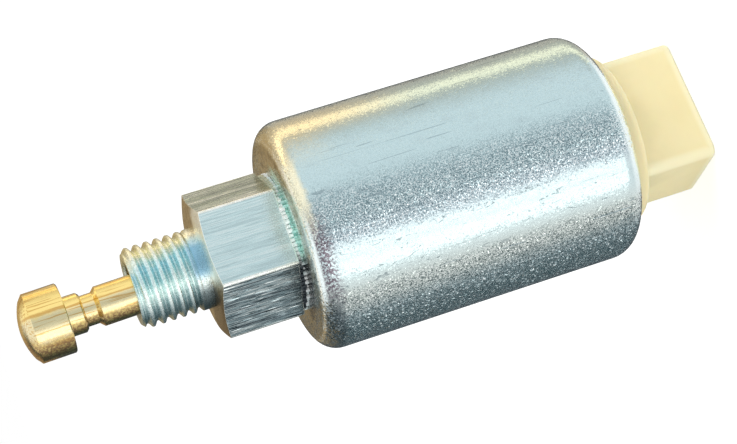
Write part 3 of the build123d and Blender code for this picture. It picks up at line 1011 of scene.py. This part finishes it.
def makeFlatZinc(finish):
    surface, graph = material("drawnFlats")
    place, x, y, z = graph.place()
    width = finish["lineWidth"]
    drawn = graph.stretched(place, (1, 1, width / finish["lineLength"]))
    broad = graph.noise(drawn, finish["broadLines"] * width, 1.0, 0.5)
    lines = graph.noise(drawn, width, 2.0, 0.6) * 0.7 + broad * 0.3
    # Painted shade on the lower flat, a painted reflection tint on the upper flat, and painted light, paler
    # and less metallic, at the middle flat's rear end
    lowFlatShaded, upperFlatReflection = graph.side(x, y, finish["lowFlatShadeSide"]), graph.side(x, y, finish["upperFlatReflectionSide"])
    rearEnd = graph.fall(z, -9.2, -7.4) * graph.side(x, y, finish["paleHighlightSide"])
    tint = graph.coats(finish["colour"], finish, [
        (lowFlatShaded * 0.8, "lowFlatShadeColour"),
        (upperFlatReflection * 0.8, "oliveColour"),
        (rearEnd * 0.8, "paleHighlightColour"),
        (graph.rise(lines, 0.51, 0.56) * (lowFlatShaded * 0.5 + upperFlatReflection * 0.2 + 0.35), "lineColour"),
        (graph.rise(lines, 0.535, 0.565) * (lowFlatShaded + upperFlatReflection * 0.7) * 0.9, "deepColour"),
        (graph.fall(lines, 0.44, 0.475) * (lowFlatShaded * 0.6 + upperFlatReflection * 0.45 + 0.4), "brightColour"),
    ])
    grain = zincGrain(graph, place, finish["grainSize"])
    longer = graph.stretched(place, (1, 1, finish["fleckStretch"]))
    flecks = graph.facets(longer, finish["fleckSize"], finish["fleckSlope"], finish["fleckShare"])
    under = graph.bump(flecks * (lowFlatShaded + upperFlatReflection * 0.4), 1.0, graph.bump(grain, finish["grainDepth"]))
    normal = graph.bump(lines * (1 + lowFlatShaded * 0.5 + upperFlatReflection * 0.6), finish["lineDepth"], under)
    rough = graph.rise(grain, 0.3, 0.7) * 0.1 + finish["roughness"]
    graph.finish({"Base Color": tint, "Metallic": 1 - rearEnd * 0.7, "Roughness": rough, "Normal": normal})
    return surface


# Colours round the nipple, from grey through silver and blue to yellow: partly passivation tint, partly
# painted reflection and shade, set by side
nippleZinc = {
    "startTurn": -108.0,        # degrees from +X at which the colours start
    "bands": [
        (0.00, (0.44, 0.57, 0.59)), (0.16, (0.52, 0.68, 0.70)), (0.23, (0.84, 0.98, 0.96)),
        (0.29, (0.62, 0.90, 0.92)), (0.35, (0.52, 0.84, 0.92)), (0.41, (0.98, 1.00, 0.80)),
        (0.50, (0.98, 0.96, 0.64)), (0.62, (0.80, 0.78, 0.54)), (0.80, (0.60, 0.66, 0.66)),
        (1.00, (0.42, 0.48, 0.50)),
    ],
    "driftTurn": 50.0,          # degrees by which the colours wander
    "climbTurn": 2.0,           # degrees by which they turn over a millimetre
    "grooveRadius": 4.36,       # mm
    "crestRadius": 4.85,        # mm
    # painted shade in the grooves; a painted highlight on the crests, which also lightens some flecks
    "grooveShadeColour": (0.54, 0.58, 0.56),
    "crestHighlightAndFleckColour": (0.97, 1.00, 0.94),
    "dirtColour": (0.26, 0.32, 0.32),
    "blueSide": (-6.0, 26.0, 10.0),         # the blue stains by the hexagon
    "blueColour": (0.20, 0.44, 0.62),
    # painted shade on the nipple's low foot by the hexagon
    "lowFootShadeSide": (-78.0, 30.0, 12.0),
    "lowFootShadeColour": (0.10, 0.14, 0.15),
    "roughness": 0.26,
    "grainSize": 0.24,          # mm
    "grainDepth": 0.012,        # mm
}


def makeNippleZinc(finish):
    surface, graph = material("nippleZinc")
    place, x, y, z = graph.place()
    drift = (graph.noise(place, 1.6, 3.0, 0.6) - 0.5) * finish["driftTurn"]
    turn = graph.turnFrom(x, y, finish["startTurn"] + 180.0) + 180 + drift + z * finish["climbTurn"]
    radius = graph.radius(x, y)
    crest = finish["crestRadius"]
    # Painted shade darkens the grooves, and a painted highlight lightens the crests
    grooveShade = graph.fall(radius, finish["grooveRadius"], crest)
    bands = graph.ramp(turn / 360, finish["bands"])
    tint = graph.blend(grooveShade * 0.35, bands, finish["grooveShadeColour"], "MULTIPLY")
    specks = graph.noise(place, 0.24, 3.0, 0.7)
    foot = graph.fall(z, 1.3, 2.2)
    tint = graph.coats(tint, finish, [
        (graph.rise(radius, crest - 0.06, crest) * 0.32, "crestHighlightAndFleckColour"),
        (graph.rise(specks, 0.50, 0.62) * 0.35, "dirtColour"),
        (graph.fall(specks, 0.36, 0.44) * 0.5, "crestHighlightAndFleckColour"),
        (foot * graph.side(x, y, finish["blueSide"]) * 0.85, "blueColour"),
        (foot * graph.side(x, y, finish["lowFootShadeSide"]) * 0.8, "lowFootShadeColour"),
    ])
    grain = zincGrain(graph, place, finish["grainSize"])
    rough = graph.rise(grain, 0.3, 0.7) * 0.12 + finish["roughness"]
    normal = graph.bump(grain, finish["grainDepth"])
    graph.finish({"Base Color": tint, "Metallic": 1.0, "Roughness": rough, "Normal": normal})
    return surface


# The hexagon's turned faces, tarnished brown, its edges, white as a painted highlight, and the collar with
# its serrations and studs.
# Each of a finish's sides has its middle, its half width and its colour; the sides are painted light: the
# dark ones painted shade, the others painted highlights and reflections.
tarnishAndPaintedLight = {
    # the turned faces: a near-white painted highlight on one side, painted shade below
    "turnedFace": {
        "colour": (0.50, 0.42, 0.26), "deepColour": (0.32, 0.25, 0.14), "roughness": 0.2, "metal": 1.0,
        "sides": [(2.0, 38.0, (0.92, 0.93, 0.84)), (-88.0, 40.0, (0.15, 0.11, 0.06))],
    },
    # the collar: painted black shade on its low side
    "collarDark": {
        "colour": (0.70, 0.95, 0.86), "deepColour": (0.36, 0.66, 0.60), "roughness": 0.25, "metal": 1.0,
        "sides": [(-69.0, 33.0, (0.02, 0.03, 0.04))],
    },
    # near-white edges, a painted highlight
    "edgeHighlightZinc": {
        "colour": (0.95, 0.98, 0.95), "deepColour": (0.86, 0.90, 0.84), "roughness": 0.08, "metal": 1.0,
        "sides": [],
    },
    # white teeth, a painted highlight, with painted shade below and a painted reflection tint above
    "toothHighlightZinc": {
        "colour": (1.00, 1.00, 1.00), "deepColour": (0.85, 0.96, 0.94), "roughness": 0.15, "metal": 0.5,
        "sides": [(-69.0, 33.0, (0.03, 0.04, 0.05)), (56.0, 30.0, (0.50, 0.52, 0.40))],
    },
    # white matte studs, a painted highlight, with a painted reflection tint on one side
    "studHighlightZinc": {
        "colour": (1.00, 1.00, 1.00), "deepColour": (0.75, 0.88, 0.88), "roughness": 0.15, "metal": 0.0,
        "sides": [(-10.0, 26.0, (0.50, 0.82, 0.76))],
    },
}


def makeTarnishAndPaintedLight(name, finish):
    surface, graph = material(name)
    place, x, y, z = graph.place()
    clouds = graph.noise(place, 0.8, 3.0, 0.6)
    tint = graph.blend(graph.rise(clouds, 0.35, 0.65), finish["colour"], finish["deepColour"])
    for middle, half, colour in finish["sides"]:
        tint = graph.blend(graph.side(x, y, (middle, half, 9.0)), tint, colour)
    normal = graph.bump(zincGrain(graph, place, 0.16), 0.02)
    rough = clouds * 0.2 + finish["roughness"]
    graph.finish({"Base Color": tint, "Metallic": finish["metal"], "Roughness": rough, "Normal": normal})
    return surface


pinBrass = {
    "colour": (1.00, 0.79, 0.30),
    "paleHighlightColour": (0.84, 0.75, 0.49),
    "orangeColour": (0.66, 0.38, 0.10),
    "lowShadeColour": (0.29, 0.17, 0.09),
    # a painted highlight on one side and painted shade on the low side
    "paleHighlightSide": (-34.0, 19.0, 8.0),
    "lowShadeSide": (-96.0, 42.0, 14.0),
    "lines": ((52.0, 3.5), (31.0, 2.0), (-12.0, 2.5)),      # middle and half width of each orange line, a painted reflection
    "stem": (1.4, 3.4),         # mm, the radii between which the stem's plain brass gives way to the painted highlight, reflections and shade
    "nose": (20.4, 20.9),       # mm, the same along the head's nose
    "roughness": 0.15,
    "mottleDepth": 0.012,       # mm
    "toolPitch": 0.09,          # mm
    "toolDepth": 0.004,         # mm
}


def makeBrass(name, finish):
    surface, graph = material(name)
    place, x, y, z = graph.place()
    rings = graph.noise(graph.stretched(place, (0.0, 0.0, 1.0)), finish["toolPitch"], 1.0)
    mottle = graph.noise(place, 0.28, 3.0, 0.7)
    drawn = graph.noise(graph.stretched(place, (1, 1, 0.04)), 0.26, 2.0, 0.6)
    clouds = graph.noise(place, 1.2, 2.0, 0.6) * 24 - 12
    outside = graph.rise(graph.radius(x, y), *finish["stem"])
    flank = graph.maths("MAXIMUM", outside, graph.fall(z, *finish["nose"]))
    # Painted highlight, painted reflection lines and painted shade, on the head and the stem's outside
    paleHighlight = graph.side(x, y, finish["paleHighlightSide"], clouds) * flank
    tint = graph.coats(finish["colour"], finish, [
        (paleHighlight * 0.85, "paleHighlightColour"),
        (graph.rise(drawn, 0.54, 0.62) * 0.75, "orangeColour"),
    ])
    for turn, half in finish["lines"]:
        line = graph.side(x, y, (turn, half, half * 0.6), clouds * 0.15)
        tint = graph.blend(line * flank * 0.8, tint, finish["orangeColour"])
    lowShade = graph.side(x, y, finish["lowShadeSide"]) * flank * (graph.rise(mottle, 0.42, 0.54) * 0.5 + 0.45)
    tint = graph.blend(lowShade, tint, finish["lowShadeColour"])
    rough = graph.rise(mottle, 0.3, 0.75) * 0.12 + finish["roughness"]
    normal = graph.bump(rings, finish["toolDepth"], graph.bump(mottle, finish["mottleDepth"]))
    graph.finish({"Base Color": tint, "Metallic": 1.0, "Roughness": rough, "Normal": normal})
    return surface


capNylon = {
    "colour": (0.94, 0.83, 0.50),
    "deepColour": (0.90, 0.79, 0.46),
    "edgeHighlightColour": (1.00, 0.94, 0.68),
    "shadeColour": (0.80, 0.74, 0.46),
    "roughness": 0.38,
    "rim": 0.9,                 # mm, width of the painted highlight round the mouth
    "corner": (6.25, 7.75),     # mm, half the shroud's width across X and Y
    "neckZ": -53.1,
    "glow": 0.25,
    "glowTint": (1.0, 0.7, 0.35),
    "glowReach": 1.0,           # mm
    "cloudSize": 6.25,          # mm
    "skinSize": 1 / 3.5,        # mm
    "skinDepth": 0.004,         # mm
}


def makeNylon(name, finish):
    surface, graph = material(name)
    place, x, y, z = graph.place()
    fromNeck = z - finish["neckZ"]
    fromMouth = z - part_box("connector_housing")[0][2] / mm
    clouds = graph.noise(place, finish["cloudSize"], 3.0, 0.55)
    shroud = graph.fall(fromNeck, -0.3, 0.1)
    shade = shroud * graph.rise(fromNeck, -4.5, 0.0)
    # painted highlights along the mouth's rim, the shroud's corners and the neck's crease
    rim = graph.fall(fromMouth, 0.4 * finish["rim"], 1.3 * finish["rim"])
    fromCorner = abs(x) + abs(y) - sum(finish["corner"])
    corner = graph.rise(fromCorner, -1.4, -0.8) * shroud * 0.7
    neckEdge = graph.patch(fromNeck, 0.25, 0.2)
    edges = graph.maths("MAXIMUM", graph.maths("MAXIMUM", rim, corner), neckEdge)
    tint = graph.coats(finish["colour"], finish, [
        (graph.rise(clouds, 0.3, 0.8), "deepColour"),
        (shade * graph.rise(clouds, 0.3, 0.7) * 0.8, "shadeColour"),
        (edges * 0.75, "edgeHighlightColour"),
    ])
    normal = graph.bump(graph.noise(place, finish["skinSize"], 2.0), finish["skinDepth"])
    graph.finish({"Base Color": tint, "Roughness": clouds * 0.12 + finish["roughness"], "Normal": normal,
                  "Subsurface Weight": finish["glow"], "Subsurface Radius": finish["glowTint"],
                  "Subsurface Scale": finish["glowReach"] * mm})
    return surface


# Pieces that show only when the part is opened, and the blades: material, kind, colour and roughness
iron = (0.45, 0.45, 0.46)
spring = (0.42, 0.43, 0.45)
copper = (0.55, 0.22, 0.09)
rubber = (0.03, 0.03, 0.03)
tin = (0.70, 0.68, 0.62)
plainFinishes = {
    "guide_tube": ("drawnStainless", "metal", (0.62, 0.63, 0.64), 0.25),
    "armature": ("softIron", "metal", iron, 0.35),
    "fixed_core": ("coreIron", "metal", iron, 0.35),
    "flux_plate": ("plateIron", "metal", iron, 0.4),
    "stem_cross_pin": ("pinSteel", "metal", (0.6, 0.6, 0.62), 0.2),
    "return_spring": ("springSteel", "metal", spring, 0.28),
    "spring_washer": ("washerSteel", "metal", spring, 0.28),
    "anti_stick_shim": ("shimBrass", "metal", (0.75, 0.58, 0.28), 0.25),
    "bobbin": ("bobbinPlastic", "polymer", (0.09, 0.09, 0.10), 0.45),
    "coil_winding": ("enamelledCopper", "metal", copper, 0.3),
    "coil_lead_start": ("leadCopperStart", "metal", copper, 0.3),
    "coil_lead_end": ("leadCopperEnd", "metal", copper, 0.3),
    "winding_tape": ("wrapTape", "polymer", (0.75, 0.66, 0.35), 0.5),
    "front_o_ring": ("frontSealRubber", "polymer", rubber, 0.55),
    "rear_o_ring": ("rearSealRubber", "polymer", rubber, 0.55),
    "terminal_positive": ("positiveTin", "metal", tin, 0.3),
    "terminal_negative": ("negativeTin", "metal", tin, 0.3),
}
plainMarks = {
    "metal": {"size": 1 / 0.9, "depth": 0.003, "metallic": 1.0},        # mm
    "polymer": {"size": 1 / 0.7, "depth": 0.004, "metallic": 0.0},
}


def makePlain(name, kind, colour, roughness):
    surface, graph = material(name)
    how = plainMarks[kind]
    marks = graph.noise(graph.place()[0], how["size"], 3.0, 0.6)
    tint = graph.blend(marks, colour, tuple(0.8 * c for c in colour))
    graph.finish({"Base Color": tint, "Metallic": how["metallic"], "Roughness": marks * 0.1 + roughness,
                  "Normal": graph.bump(marks, how["depth"])})
    return surface


zinc = makeCanZinc(zincPlate)
tarnishAndPaintedLightMaterials = {name: makeTarnishAndPaintedLight(name, finish) for name, finish in tarnishAndPaintedLight.items()}
nodeFinishes = {name: makePlain(*finish) for name, finish in plainFinishes.items()}
nodeFinishes["can"] = zinc
nodeFinishes["threaded_body"] = zinc
nodeFinishes["valve_pin"] = makeBrass("turnedBrass", pinBrass)
nodeFinishes["connector_housing"] = makeNylon("creamNylon", capNylon)
for name, surface in nodeFinishes.items():
    paint(nodes[name], surface)
for name, thing in softened.items():
    paint(thing, nodeFinishes[name])
paint(canDressed, zinc)
paint(returnSpring, nodeFinishes["return_spring"])
dressThreadedBody(threadedBody, body, {
    "nipple": makeNippleZinc(nippleZinc),
    "turnedFace": tarnishAndPaintedLightMaterials["turnedFace"],
    "flat": makeFlatZinc(barFlats),
    "collar": tarnishAndPaintedLightMaterials["collarDark"],
    "edge": tarnishAndPaintedLightMaterials["edgeHighlightZinc"],
})
serrations = makeSerrations("collar_serrations", serration, tarnishAndPaintedLightMaterials["toothHighlightZinc"])
collarStuds = makeSerrations("collar_studs", studs, tarnishAndPaintedLightMaterials["studHighlightZinc"])
for thing in (serrations, collarStuds):
    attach(thing, solenoidBody)
print("materials made, serrations:", len(serrations.data.polygons) + len(collarStuds.data.polygons), "faces")

scene = bpy.context.scene
scene.view_settings.view_transform = "Standard"
